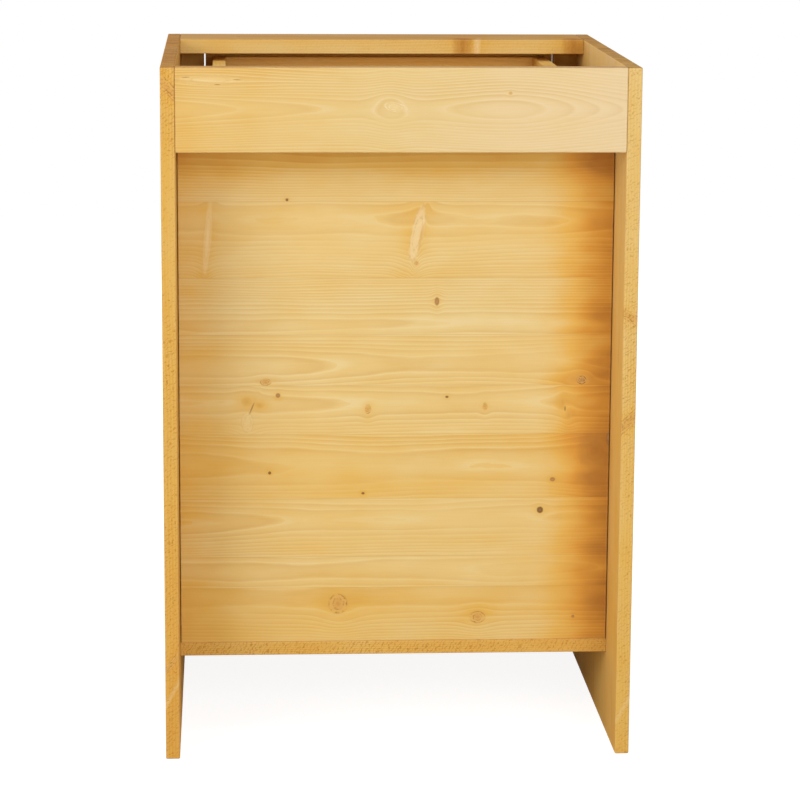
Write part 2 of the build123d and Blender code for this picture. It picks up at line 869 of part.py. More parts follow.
def build():
    """Every node of the cabinet by its name; a list holds separate solids of one node."""
    nodes = {
        "right_side_panel": side_panel(),
        "left_side_panel": mirrored(side_panel()),
        "bottom_panel": board_between_sides(
            inner_half, (front_y, back_rear_y), (toe_height, bottom_top), bottom_joint
        ),
        "back_panel": board_between_sides(
            inner_half - back_side_gap, (back_front_y, back_rear_y), (bottom_top, back_top), back_joint
        ),
        "rear_top_rail": board_between_sides(
            inner_half,
            (rear_y - rail_thickness, rear_y),
            (cabinet_height - rail_width, cabinet_height),
            rear_rail_joint,
        ),
        "front_top_rail": front_top_rail(),
        "middle_rail": middle_rail(),
        "plinth_board": board_between_sides(
            inner_half,
            (plinth_y, plinth_y + plinth_thickness),
            (plinth_floor_gap, toe_height),
            plinth_joint,
        ),
        "right_stile": stile(),
        "left_stile": left_stile(),
        "carcass_dowels": [dowel for joint in carcass_joints for dowel in joint.dowels()],
        "shelf": shelf(),
        "shelf_pins": shelf_pins(),
        "right_batten": batten(),
        "left_batten": mirrored(batten()),
        "batten_screws": both_sides(screws_at(batten_screw_places, (-1, 0, 0), batten_screw_length)),
        "right_cabinet_runner": cabinet_runner(),
        "left_cabinet_runner": mirrored(cabinet_runner()),
        "cabinet_runner_screws": both_sides(
            screws_at(channel_screw_places, (-1, 0, 0), short_screw_length)
        ),
        "cabinet_roller_rivets": both_sides([cabinet_rivet()]),
        "right_cabinet_roller": cabinet_roller(),
        "left_cabinet_roller": mirrored(cabinet_roller()),
        "right_drawer_runner": drawer_runner(),
        "left_drawer_runner": mirrored(drawer_runner()),
        "drawer_runner_screws": both_sides(
            screws_at(drawer_screw_places, (0, 0, -1), drawer_screw_length)
        ),
        "drawer_roller_rivets": both_sides([drawer_rivet()]),
        "right_drawer_roller": drawer_roller(),
        "left_drawer_roller": mirrored(drawer_roller()),
        "drawer_face": drawer_face(),
        "drawer_box_front": drawer_box_front(),
        "drawer_right_side": drawer_side(),
        "drawer_left_side": mirrored(drawer_side()),
        "drawer_back": drawer_back(),
        "drawer_bottom": drawer_bottom(),
        "drawer_dowels": box_front_joint.dowels() + box_back_joint.dowels(),
        "drawer_face_screws": screws_at(face_screw_places, (0, 1, 0), face_screw_length),
        "drawer_knob": knob(drawer_knob_place),
        "drawer_knob_screw": knob_screw(drawer_knob_place, box_inner_front_y),
        "door_right_stile": door_right_stile(),
        "door_left_stile": door_left_stile(),
        "door_top_rail": door_top_rail(),
        "door_bottom_rail": door_bottom_rail(),
        "door_panel": door_panel(),
        "door_knob": knob(door_knob_place),
        "door_knob_screw": knob_screw(door_knob_place, door_back_y),
        "hinge_frame_screws": screws_at(frame_leaf_screw_places, (1, 0, 0), short_screw_length),
        "hinge_door_screws": screws_at(door_leaf_screw_places, (-1, 0, 0), short_screw_length),
        "catch_housing": catch_housing(),
        "catch_magnet": block(magnet_x, magnet_y, magnet_z),
        "catch_screws": screws_at(catch_screw_places, (0, 0, -1), catch_height + short_screw_length),
        "strike_plate": strike_plate(),
        "strike_screws": screws_at(strike_screw_places, (0, 1, 0), short_screw_length),
    }
    for name, level in hinge_levels.items():
        nodes[f"{name}_frame_leaf"] = frame_leaf(level)
        nodes[f"{name}_door_leaf"] = door_leaf(level)
        nodes[f"{name}_hinge_pin"] = hinge_pin(level)
    return nodes


os.makedirs("parts", exist_ok=True)
for node_name, solid in build().items():
    whole = Compound(solid) if isinstance(solid, list) else solid
    export_step(whole, f"parts/{node_name}.step")
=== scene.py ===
import json
import random
from math import pi, radians
from typing import NamedTuple

import bpy
from mathutils import Matrix, Vector


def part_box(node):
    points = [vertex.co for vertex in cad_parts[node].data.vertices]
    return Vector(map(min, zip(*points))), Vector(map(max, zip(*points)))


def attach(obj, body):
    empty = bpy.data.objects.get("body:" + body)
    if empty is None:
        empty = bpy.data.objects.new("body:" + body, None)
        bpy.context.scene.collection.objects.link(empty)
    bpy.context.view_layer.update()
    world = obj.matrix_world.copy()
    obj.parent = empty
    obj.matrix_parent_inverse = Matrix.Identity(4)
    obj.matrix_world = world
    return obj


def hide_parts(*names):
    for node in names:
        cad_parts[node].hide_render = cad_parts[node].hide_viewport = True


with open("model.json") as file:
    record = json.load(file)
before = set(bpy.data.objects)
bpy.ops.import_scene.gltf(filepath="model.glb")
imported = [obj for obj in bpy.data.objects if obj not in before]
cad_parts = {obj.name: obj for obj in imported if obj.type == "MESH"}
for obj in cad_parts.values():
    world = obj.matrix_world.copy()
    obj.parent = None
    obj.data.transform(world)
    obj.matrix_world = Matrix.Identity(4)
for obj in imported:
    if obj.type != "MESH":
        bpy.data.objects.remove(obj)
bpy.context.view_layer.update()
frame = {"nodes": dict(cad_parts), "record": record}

# A honey-stained pine base cabinet, seen from behind. Metres, in the frame of the solids.
rail_low, rail_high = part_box("rear_top_rail")
rear_edge = rail_high[1]

AXES = "xyz"

# Colours of the pine: the stain from pale to deep, then late wood, ends, painted shade on the tops, saw
# marks, worn edges with a painted highlight, and glue
CREAM = (0.83, 0.665, 0.40, 1)
STRAW = (0.80, 0.61, 0.275, 1)
HONEY = (0.77, 0.47, 0.11, 1)
AMBER = (0.71, 0.34, 0.055, 1)
RUSSET = (0.52, 0.225, 0.04, 1)
LATE_TINT = (0.78, 0.60, 0.40, 1)
END_TINT = (0.66, 0.52, 0.37, 1)
END_STREAK = (0.40, 0.28, 0.17, 1)
TOP_SHADE_TINT = (0.62, 0.49, 0.40, 1)
SAW_TINT = (0.70, 0.55, 0.38, 1)
WORN_EDGE_AND_HIGHLIGHT = (0.84, 0.62, 0.30, 1)
GLUE_LINE = (0.40, 0.18, 0.04, 1)

# Lengths of the grain and of the stain, with the painted shade at the ends and under the rail
RING_WIDTH = 0.0027
LAMELLA = 0.117
GLUE_WIDTH = 0.0006
EDGE_REACH = 0.0035
FACE_SKIN = (0.0012, 0.0003)
TOP_SKIN = (0.0009, 0.0003)
END_STAIN_AND_SHADE_REACH = 0.10
RAIL_STAIN_AND_SHADE_REACH = 0.07
KNOT_PUSH = 0.009
KNOT_RAGGEDNESS = 0.006
PITH_DEPTH = (0.012, 0.07)
LAMELLA_PITH_DEPTH = 0.018
LAMELLA_PITH_SPREAD = 0.075
COARSE_WANDER = 0.020
MIDDLE_WANDER = 0.0024

# Distance, in half sizes of a knot, that keeps it off the other lamellas
OUTSIDE = 100.0

# Rings: sharpness of the late wood, its end and the pale wood's start in shares of a ring, unevenness
LATE_SHARPNESS = 2.2
LATE_END = (1.0, 0.78)
PALE_START = (0.24, 0.02)
SPACING_CHANGE = 3.2
SPACING_SCALE = 55.0

# Knots, in half sizes: where body, heart and two bark lines fade in or out, and how fine the rings are
KNOT_BODY = (1.2, 0.7)
KNOT_HEART = (0.62, 0.34)
INNER_BARK = ((0.48, 0.58), (0.70, 0.60))
OUTER_BARK = ((0.86, 0.98), (1.14, 1.00))
KNOT_RINGS = 14.0

# Saw marks: radians per metre along the grain and through the board
SAW_PITCH = 1150.0
SAW_SLANT = 700.0

# Where a pith lies, in shares of the width, and how far at most the grain is moved along
PITH_SPAN = (0.1, 0.9)
GRAIN_SHIFT = 6.0

# Random knots: half size across the grain, times as long along it, kinds
RANDOM_KNOT_HALF = (0.003, 0.011)
RANDOM_KNOT_STRETCH = (1.0, 1.6)
RANDOM_KNOT_KINDS = ("red", "red", "dark", "bark")

# Surfaces: refraction of the pine's finish, then strength and height of the bumps
PINE_IOR = 1.46
PINE_BUMP = (0.16, 0.0006)
FINE_BUMP = (0.1, 0.0003)

# Noises of the wood: waves per metre along the grain, then across it, and the detail
GRAIN_NOISES = {
    "coarse": (1.7, 7.0, 2.0),
    "middle": (9.0, 30.0, 3.0),
    "figure": (3.2, 22.0, 2.0),
    "broad": (2.3, 15.0, 3.0),
    "blotch": (13.0, 26.0, 2.0),
    "streak": (4.2, 130.0, 3.0),
    "fibre": (26.0, 700.0, 2.0),
}
RAGGED_SCALE = 190.0
FLAKED_SCALE = 330.0


class KnotLook(NamedTuple):
    """Colours of a knot's wood, heart and bark lines, how strongly they show, and how ragged it is."""

    wood: tuple
    heart: tuple
    line: tuple
    cover: float
    outline: float
    ragged: float = 1.0


KNOT_LOOKS = {
    "red": KnotLook((0.71, 0.40, 0.11, 1), (0.58, 0.27, 0.06, 1), (0.36, 0.16, 0.04, 1), 0.65, 0.8),
    "brown": KnotLook((0.42, 0.195, 0.065, 1), (0.50, 0.26, 0.09, 1), (0.22, 0.095, 0.03, 1), 0.85, 0.6, 0.5),
    "dark": KnotLook((0.21, 0.095, 0.032, 1), (0.32, 0.165, 0.06, 1), (0.09, 0.037, 0.013, 1), 0.92, 0.85),
    "bark": KnotLook((0.62, 0.35, 0.11, 1), (0.40, 0.20, 0.065, 1), (0.15, 0.065, 0.022, 1), 0.75, 0.95),
    "pale": KnotLook((0.85, 0.64, 0.32, 1), (0.86, 0.67, 0.37, 1), (0.66, 0.39, 0.13, 1), 0.45, 0.35, 0.3),
    "white": KnotLook((0.85, 0.69, 0.42, 1), (0.81, 0.62, 0.31, 1), (0.56, 0.31, 0.09, 1), 0.5, 0.45, 0.3),
    "faint": KnotLook((0.82, 0.63, 0.31, 1), (0.80, 0.59, 0.25, 1), (0.62, 0.37, 0.12, 1), 0.22, 0.35),
    "swirl": KnotLook((0.82, 0.63, 0.30, 1), (0.86, 0.72, 0.44, 1), (0.88, 0.75, 0.49, 1), 0.25, 0.6),
    "soak": KnotLook((0.54, 0.245, 0.045, 1), (0.45, 0.185, 0.032, 1), (0.3, 0.13, 0.03, 1), 0.55, 0.0),
    "amber": KnotLook((0.70, 0.39, 0.09, 1), (0.64, 0.33, 0.07, 1), (0.3, 0.13, 0.03, 1), 0.5, 0.0),
    "hair": KnotLook((0.40, 0.21, 0.06, 1), (0.33, 0.16, 0.045, 1), (0.33, 0.16, 0.045, 1), 0.65, 0.3),
}
UNSTAINED_KNOTS = ("faint", "swirl", "hair")


class Knot(NamedTuple):
    """A knot in a board: its place and half size along and across the grain, and how it runs through."""

    along: float
    across: float
    half_along: float
    half_across: float
    kind: str = "red"
    lean: float = 0.0
    slant: float = 0.0


class Crest(NamedTuple):
    """A place along the pith where the rings rise and close to ovals on the face."""

    along: float
    reach: float
    height: float


class Board(NamedTuple):
    """How a board was cut, stained and finished.

    grain and width are its axes. A glued board has lamellas, of one width or between given joints.
    tone is its stain from pale to deep, which fade, fall and lee change along the grain, across it
    and through the board. end_stain_and_shade and rail_stain_and_shade deepen it at its ends and
    under the rail, partly as stain and partly as painted shade beside the side panels and under the
    rail. lines, shaded_top and sawn say how strongly rings, painted shade on the upper face and saw
    marks show; shade lays painted shade over the whole board, or paints it lighter below zero.
    """

    grain: str
    width: str
    lamella: float = 0.0
    tone: float = 0.9
    roughness: float = 0.56
    gloss: float = 0.25
    fade: float = 0.0
    fall: float = 0.0
    lee: float = 0.0
    end_stain_and_shade: tuple = ()
    rail_stain_and_shade: float = 0.0
    joints: tuple = ()
    knots: tuple = ()
    crests: tuple = ()
    pith: tuple = ()
    tilt: float = 0.0
    wander: float = 1.0
    lines: float = 0.32
    shade: float = 0.0
    shaded_top: float = 0.0
    sawn: float = 0.2
    random_knots: int = 0


class Socket:
    """One output of a shader node. Operators add Math nodes, and node() adds any other node."""

    def __init__(self, tree, output=None):
        self.tree = tree
        self.output = output

    def node(self, kind, settings=None, sockets=None, output=0):
        """Adds a node, makes its settings, then fills its sockets, and gives one of its outputs."""
        made = self.tree.nodes.new(kind)
        for name, value in (settings or {}).items():
            setattr(made, name, value)
        for name, value in (sockets or {}).items():
            if isinstance(value, Socket):
                self.tree.links.new(value.output, made.inputs[name])
            else:
                made.inputs[name].default_value = value
        return Socket(self.tree, made.outputs[output] if made.outputs else None)

    def other(self, name):
        """Another output of the same node."""
        return Socket(self.tree, self.output.node.outputs[name])

    def math(self, operation, *others):
        return self.node("ShaderNodeMath", {"operation": operation}, dict(enumerate((self, *others))))

    def __add__(self, other):
        return self.math("ADD", other)

    __radd__ = __add__

    def __sub__(self, other):
        return self.math("SUBTRACT", other)

    def __rsub__(self, other):
        return self.node("ShaderNodeMath", {"operation": "SUBTRACT"}, {0: other, 1: self})

    def __mul__(self, other):
        return self.math("MULTIPLY", other)

    def __truediv__(self, other):
        return self.math("DIVIDE", other)

    def __pow__(self, other):
        return self.math("POWER", other)

    def smooth(self, low, high):
        """0 below low and 1 above high, with a soft step between; high may be the lower one."""
        return self.node(
            "ShaderNodeMapRange",
            {"interpolation_type": "SMOOTHSTEP"},
            {"Value": self, "From Min": low, "From Max": high},
        )

    def mix(self, first, second, blend="MIX"):
        """Colours mixed by this factor, which is held between 0 and 1."""
        settings = {"data_type": "RGBA", "blend_type": blend}
        return self.node("ShaderNodeMix", settings, {0: self, 6: first, 7: second}, 2)

    def vector(self, x, y, z):
        return self.node("ShaderNodeCombineXYZ", None, {0: x, 1: y, 2: z})

    def noise(self, scale=1.0, detail=2.0, roughness=0.5):
        """Noise around zero at this vector, about half up and half down."""
        sockets = {"Vector": self, "Scale": scale, "Detail": detail, "Roughness": roughness}
        return self.node("ShaderNodeTexNoise", None, sockets) - 0.5


def new_material(name):
    """An empty material and the start for its nodes."""
    material = bpy.data.materials.new(name)
    material.use_nodes = True
    material.node_tree.nodes.clear()
    return material, Socket(material.node_tree)


def node_group(name, inputs, outputs):
    """An empty group of nodes with its sockets, and its input node."""
    group = bpy.data.node_groups.new(name, "ShaderNodeTree")
    for in_out, sockets in (("INPUT", inputs), ("OUTPUT", outputs)):
        for socket, kind in sockets.items():
            group.interface.new_socket(socket, in_out=in_out, socket_type=f"NodeSocket{kind}")
    return group, Socket(group).node("NodeGroupInput")


def finish_surface(start, sockets, height, bump):
    """The shader with its sockets, and a bump from a height."""
    strength, distance = bump
    relief = {"Strength": strength, "Distance": distance, "Height": height}
    normal = start.node("ShaderNodeBump", None, relief)
    surface = start.node("ShaderNodeBsdfPrincipled", None, {**sockets, "Normal": normal})
    start.node("ShaderNodeOutputMaterial", None, {"Surface": surface})


def object_place(start):
    """The object coordinates and their three parts."""
    place = start.node("ShaderNodeTexCoord", None, None, "Object")
    parts = start.node("ShaderNodeSeparateXYZ", None, {0: place})
    return place, {axis: parts.other(axis.upper()) for axis in AXES}


def edge_distance(parts, low, high):
    """Distance to the nearest edge of a board: the middle one of the three distances to its faces."""
    gaps = []
    for axis, bottom, top in zip(AXES, low, high):
        gaps.append((parts[axis] - bottom).math("MINIMUM", top - parts[axis]).math("ABSOLUTE"))
    first, second, third = gaps
    lesser = first.math("MINIMUM", second)
    greater = first.math("MAXIMUM", second)
    return lesser.math("MAXIMUM", greater.math("MINIMUM", third)), dict(zip(AXES, gaps))


def knots_for(board, low, high, chance):
    """The board's chosen knots, and as many random ones as it asks for."""
    u, w = AXES.index(board.grain), AXES.index(board.width)
    knots = list(board.knots)
    for _ in range(board.random_knots):
        half = chance.uniform(*RANDOM_KNOT_HALF)
        knots.append(
            Knot(
                chance.uniform(low[u], high[u]),
                chance.uniform(low[w], high[w]),
                half * chance.uniform(*RANDOM_KNOT_STRETCH),
                half,
                chance.choice(RANDOM_KNOT_KINDS),
            )
        )
    return knots


def lamella_joints(board, low, high):
    """Where the lamellas of a board meet across its width, if it has any."""
    w = AXES.index(board.width)
    if board.joints or not board.lamella:
        return board.joints
    count = int((high[w] - low[w]) / board.lamella)
    return tuple(low[w] + board.lamella * (number + 1) for number in range(count))


def knot_bend_group():
    """Where a knot lies: the distance from its middle, its pull, and how far it moves the grain.

    In other lamellas the distance is far outside the knot.
    """
    inputs = ("Along", "Across", "Lamella", "Knot Along", "Knot Across", "Half Along", "Half Across")
    inputs += ("Depth", "Lean", "Slant", "Own Lamella", "Push")
    outputs = ("Distance", "Pull", "Move")
    group, inlet = node_group("knot_bend", dict.fromkeys(inputs, "Float"), dict.fromkeys(outputs, "Float"))
    offset = inlet.other("Across") - inlet.other("Knot Across")
    aside = offset * inlet.other("Lean") + inlet.other("Depth") * inlet.other("Slant")
    run = (inlet.other("Along") - inlet.other("Knot Along") - aside) / inlet.other("Half Along")
    rise = offset / inlet.other("Half Across")
    squared = run * run + rise * rise
    own = (inlet.other("Lamella") - inlet.other("Own Lamella")).math("ABSOLUTE").math("LESS_THAN", 0.5)
    pull = (squared * -0.2).math("EXPONENT") * own
    move = offset * pull * inlet.other("Push")
    distance = squared.math("SQRT") + (1 - own) * OUTSIDE
    inlet.node("NodeGroupOutput", None, {"Distance": distance, "Pull": pull, "Move": move})
    return group


def knot_mark_group():
    """How a knot looks: its wood, its heart with fine rings, and broken bark lines."""
    numbers = ("Distance", "Ragged", "Flaked", "Ragged Reach", "Cover", "Outline")
    colours = ("Colour", "Wood", "Heart", "Line")
    inputs = {**dict.fromkeys(numbers, "Float"), **dict.fromkeys(colours, "Color")}
    group, inlet = node_group("knot_mark", inputs, {"Colour": "Color"})
    ragged = inlet.other("Ragged")
    ring = inlet.other("Distance") + ragged * inlet.other("Ragged Reach")
    body = ring.smooth(*KNOT_BODY)
    heart = ring.smooth(*KNOT_HEART)
    rays = ((ring * KNOT_RINGS).math("SINE") * 0.35 + ragged * 0.9 + 0.7).math("MAXIMUM", 0.0)
    (inner_rise, inner_fall), (outer_rise, outer_fall) = INNER_BARK, OUTER_BARK
    inner = ring.smooth(*inner_rise) * ring.smooth(*inner_fall) * (inlet.other("Flaked") * 3.5 + 0.45)
    outer = ring.smooth(*outer_rise) * ring.smooth(*outer_fall) * (ragged * 3.5 + 0.40)
    line = (inner.math("MAXIMUM", 0.0) + outer.math("MAXIMUM", 0.0)).math("MINIMUM", 1.0)
    line = line * inlet.other("Outline")
    colour = (body * inlet.other("Cover")).mix(inlet.other("Colour"), inlet.other("Wood"))
    colour = (heart * rays * inlet.other("Cover")).mix(colour, inlet.other("Heart"))
    colour = line.mix(colour, inlet.other("Line"))
    inlet.node("NodeGroupOutput", None, {"Colour": colour})
    return group


KNOT_BEND, KNOT_MARK = knot_bend_group(), knot_mark_group()


def pine(name, board, low, high, seed):
    """Honey-stained pine cut from a log: rings round a pith in each lamella, knots, end grain."""
    material, start = new_material(name)
    chance = random.Random(seed)
    u_axis, w_axis = board.grain, board.width
    t_axis = next(axis for axis in AXES if axis not in (u_axis, w_axis))
    lows, highs = dict(zip(AXES, low)), dict(zip(AXES, high))
    _, parts = object_place(start)
    along, across, through = parts[u_axis], parts[w_axis], parts[t_axis]

    joints = lamella_joints(board, low, high)
    if joints:
        bounds = (lows[w_axis], *joints, highs[w_axis])
        widths = [upper - lower for lower, upper in zip(bounds, bounds[1:])]
        index, glue, lamella_low, lamella_width = 0.0, 0.0, bounds[0], widths[0]
        for joint, below, above in zip(joints, widths, widths[1:]):
            past = across.math("GREATER_THAN", joint)
            index = past + index
            glue = (across - joint).math("ABSOLUTE").smooth(GLUE_WIDTH, 0.0).math("MAXIMUM", glue)
            lamella_low = past * below + lamella_low
            lamella_width = past * (above - below) + lamella_width
        settings = {"noise_dimensions": "1D"}
        draw = start.node("ShaderNodeTexWhiteNoise", settings, {"W": index + seed}, "Color")
        draws = start.node("ShaderNodeSeparateColor", None, {0: draw})
        first, second, third = draws, draws.other("Green"), draws.other("Blue")
        least, most = PITH_SPAN
        pith_across = (first * (most - least) + least) * lamella_width + lamella_low
        pith_through = second * -LAMELLA_PITH_SPREAD - LAMELLA_PITH_DEPTH
        pith_through = pith_through + (lows[t_axis] + highs[t_axis]) / 2
        shifted = along + third * GRAIN_SHIFT
    else:
        index = 0.0
        pith_across, pith_through = board.pith or (
            lows[w_axis] + chance.uniform(*PITH_SPAN) * (highs[w_axis] - lows[w_axis]),
            lows[t_axis] - chance.uniform(*PITH_DEPTH),
        )
        shifted = along + chance.uniform(0, GRAIN_SHIFT)

    def grain_noise(layer):
        """Noise that is drawn out along the grain."""
        run, cross, detail = GRAIN_NOISES[layer]
        return start.vector(shifted * run, across * cross, through * cross).noise(1.0, detail)

    # Knots push the grain aside, each within its own lamella
    ragged = start.vector(*(part * RAGGED_SCALE for part in (along, across, through))).noise(1.0, 2.0)
    flaked_place = (along * FLAKED_SCALE, across * FLAKED_SCALE, through * FLAKED_SCALE + seed)
    flaked = start.vector(*flaked_place).noise(1.0, 2.0)
    bent = across
    stain = None
    marks = []
    for knot in knots_for(board, low, high, chance):
        own_lamella = sum(joint < knot.across for joint in joints)
        sockets = {
            "Along": along,
            "Across": across,
            "Lamella": index,
            "Knot Along": knot.along,
            "Knot Across": knot.across,
            "Half Along": knot.half_along,
            "Half Across": knot.half_across,
            "Depth": through - (lows[t_axis] + highs[t_axis]) / 2,
            "Lean": knot.lean,
            "Slant": knot.slant,
            "Own Lamella": own_lamella,
            "Push": min(0.75, KNOT_PUSH / knot.half_across),
        }
        bend = start.node("ShaderNodeGroup", {"node_tree": KNOT_BEND}, sockets, "Distance")
        bent = bent - bend.other("Move")
        if knot.kind not in UNSTAINED_KNOTS:
            pull = bend.other("Pull")
            stain = pull if stain is None else stain.math("MAXIMUM", pull)
        marks.append((knot, bend))

    # Rings: the distance from a wavy pith, with a slow early and a sharp late edge
    coarse, middle = grain_noise("coarse"), grain_noise("middle")
    side = bent - pith_across
    depth = through - pith_through - along * board.tilt
    wander = (coarse * COARSE_WANDER + middle * MIDDLE_WANDER) * board.wander
    radius = (side * side + depth * depth).math("SQRT") + wander
    for crest in board.crests:
        run = (along - crest.along) / crest.reach
        radius = radius - (run * run * -1.0).math("EXPONENT") * crest.height
    spacing = start.vector(radius * SPACING_SCALE, seed, 0.0).noise(1.0, 2.0)
    phase = (radius / RING_WIDTH + spacing * SPACING_CHANGE).math("FRACT")
    figure = grain_noise("figure")
    contrast = (figure * 1.8 + 0.55).math("MAXIMUM", 0.1)
    late = phase ** LATE_SHARPNESS * phase.smooth(*LATE_END) * contrast
    pale = phase.smooth(*PALE_START) * contrast

    # Stain: soaked in patches and round the knots; deeper towards the ends and under the rail, partly as
    # stain and partly as painted shade of the side panels and the rail
    broad, blotch = grain_noise("broad"), grain_noise("blotch")
    streak, fibre = grain_noise("streak"), grain_noise("fibre")
    edge, gaps = edge_distance(parts, low, high)
    tone = broad * 0.75 + blotch * 0.75 + streak * 0.35 - pale * board.lines + board.tone
    for axis, change in ((u_axis, board.fade), (w_axis, board.fall), (t_axis, board.lee)):
        half = (highs[axis] - lows[axis]) / 2
        tone = tone + (parts[axis] - (lows[axis] + half)) * (change / half)
    if board.end_stain_and_shade:
        low_end_stain_and_shade, high_end_stain_and_shade = board.end_stain_and_shade
        soaked_and_shaded = (along - lows[u_axis]).smooth(END_STAIN_AND_SHADE_REACH, 0.0) * low_end_stain_and_shade
        soaked_and_shaded = soaked_and_shaded + (highs[u_axis] - along).smooth(END_STAIN_AND_SHADE_REACH, 0.0) * high_end_stain_and_shade
        soaked_and_shaded = soaked_and_shaded + across.smooth(rail_low[2] - RAIL_STAIN_AND_SHADE_REACH, rail_low[2]) * board.rail_stain_and_shade
        tone = tone + soaked_and_shaded * (blotch * 0.9 + 0.85)
    if joints:
        tone = tone + (second - 0.5) * 0.5
    if stain is not None:
        tone = tone + stain * (blotch * 1.2 + 0.4)
    colour = (tone * -1.0).mix(tone.mix(STRAW, HONEY), CREAM)
    colour = (tone - 1.0).mix(colour, AMBER)
    colour = (tone - 2.0).mix(colour, RUSSET)
    # Late wood and fibres darken the colour; board.shade adds painted shade over the whole board, or paints
    # it lighter below zero
    colour = (late * 0.70 + fibre * 0.22 + 0.03 + board.shade).mix(colour, LATE_TINT, "MULTIPLY")
    if joints:
        colour = (glue * 0.25).mix(colour, GLUE_LINE)

    for knot, bend in marks:
        look = KNOT_LOOKS[knot.kind]
        sockets = {
            "Colour": colour,
            "Distance": bend,
            "Ragged": ragged,
            "Flaked": flaked,
            "Ragged Reach": min(0.6, KNOT_RAGGEDNESS / knot.half_along) * look.ragged,
            "Wood": look.wood,
            "Heart": look.heart,
            "Line": look.line,
            "Cover": look.cover,
            "Outline": look.outline,
        }
        colour = start.node("ShaderNodeGroup", {"node_tree": KNOT_MARK}, sockets, "Colour")

    # Cut faces: end grain with dark streaks, and saw marks across the long edges
    ends = gaps[u_axis].smooth(*FACE_SKIN)
    edges = gaps[w_axis].smooth(*FACE_SKIN) * (1 - ends)
    band = start.vector(across * 60.0, through * 9.0, seed).noise(1.0, 3.0)
    end_colour = (band * 2.4 + streak * 1.6 + late * 0.5 + 0.3).mix(END_TINT, END_STREAK)
    colour = (ends * 0.9).mix(colour, end_colour, "MULTIPLY")
    # Painted shade: the upper face darker, with streaks, for the little light that falls on it
    if board.shaded_top:
        upper = parts["z"].smooth(*(highs["z"] - skin for skin in TOP_SKIN))
        upper = upper * (streak * 0.8 + board.shaded_top)
        colour = upper.mix(colour, TOP_SHADE_TINT, "MULTIPLY")
    saw = (along * SAW_PITCH + through * SAW_SLANT + ragged * 16.0).math("SINE").smooth(0.2, 1.0)
    saw = saw * (figure * 1.6 + flaked * 3.0 + 0.35).math("MAXIMUM", 0.0) * edges * board.sawn
    colour = saw.mix(colour, SAW_TINT, "MULTIPLY")
    # Edges paler: worn stain, with a painted highlight along the rounded arris
    worn_and_highlit_edge = edge.smooth(EDGE_REACH, 0.0) * (ragged * 1.4 + 0.5).math("MINIMUM", 1.0) * (1 - ends)
    colour = (worn_and_highlit_edge * 0.22).mix(colour, WORN_EDGE_AND_HIGHLIGHT)
    height = late * 0.5 + fibre * 0.35 - saw * 0.15

    roughness = board.roughness + late * 0.06 + fibre * 0.10 + ends * 0.44 + edges * 0.3 + worn_and_highlit_edge * 0.06
    sockets = {
        "IOR": PINE_IOR,
        "Specular IOR Level": board.gloss,
        "Base Color": colour,
        "Roughness": roughness,
    }
    finish_surface(start, sockets, height, PINE_BUMP)
    return material


WALL_JOINTS = (0.198, 0.240, 0.318, 0.404, 0.4685, 0.5355, 0.610, 0.709)
WALL_KNOTS = (
    Knot(0.0745, 0.176, 0.012, 0.013),
    Knot(-0.053, 0.579, 0.003, 0.0055, "brown"),
    Knot(-0.027, 0.668, 0.008, 0.036, "white", -0.19),
    Knot(-0.0315, 0.662, 0.0020, 0.018, "amber", -0.2),
    Knot(-0.026, 0.629, 0.003, 0.003),
    Knot(0.169, 0.4735, 0.007, 0.0045),
    Knot(0.193, 0.420, 0.008, 0.014, "faint"),
    Knot(0.187, 0.439, 0.0012, 0.0075, "hair", -0.4),
    Knot(0.194, 0.448, 0.007, 0.006, "amber"),
    Knot(0.177, 0.443, 0.006, 0.004, "amber"),
    Knot(0.153, 0.456, 0.003, 0.003, "brown"),
    Knot(0.036, 0.437, 0.004, 0.006),
    Knot(-0.067, 0.453, 0.002, 0.0015, "dark"),
    Knot(-0.117, 0.440, 0.003, 0.005),
    Knot(-0.238, 0.4755, 0.017, 0.009, "amber"),
    Knot(-0.243, 0.4745, 0.006, 0.0055, "bark"),
    Knot(-0.222, 0.4365, 0.0012, 0.0035, "hair"),
    Knot(-0.219, 0.445, 0.004, 0.007, "amber"),
    Knot(-0.227, 0.427, 0.004, 0.007, "amber"),
    Knot(-0.191, 0.301, 0.0042, 0.0042, "dark"),
    Knot(-0.207, 0.342, 0.0034, 0.0028, "brown"),
    Knot(0.164, 0.353, 0.002, 0.002, "dark"),
    Knot(0.042, 0.325, 0.002, 0.0015, "dark"),
    Knot(-0.110, 0.156, 0.010, 0.008),
    Knot(-0.237, 0.156, 0.002, 0.002, "brown"),
    Knot(0.141, 0.7115, 0.0018, 0.0018, "dark"),
    Knot(0.243, 0.662, 0.005, 0.050, "pale", -0.08),
    Knot(-0.262, 0.380, 0.022, 0.026, "soak"),
    Knot(-0.280, 0.398, 0.003, 0.010, "brown"),
)
RAIL_KNOTS = (
    Knot(-0.135, 0.858, 0.0025, 0.0020),
    Knot(0.239, 0.8745, 0.040, 0.0065, "faint"),
    Knot(0.268, 0.8775, 0.005, 0.0006, "hair", -3.0),
    Knot(0.229, 0.8685, 0.004, 0.0006, "hair"),
    Knot(0.205, 0.8745, 0.005, 0.0006, "hair", 3.0),
    Knot(0.008, 0.8405, 0.013, 0.006, "swirl", 0.8),
)
LEFT_PANEL_KNOTS = (
    Knot(0.575, rear_edge - 0.0015, 0.007, 0.0035, "red", 0.0, 0.6),
    Knot(0.440, rear_edge - 0.0015, 0.010, 0.0035, "red", 0.0, -0.9),
    Knot(0.060, rear_edge - 0.0005, 0.006, 0.0025, "faint", 0.0, -1.8),
)
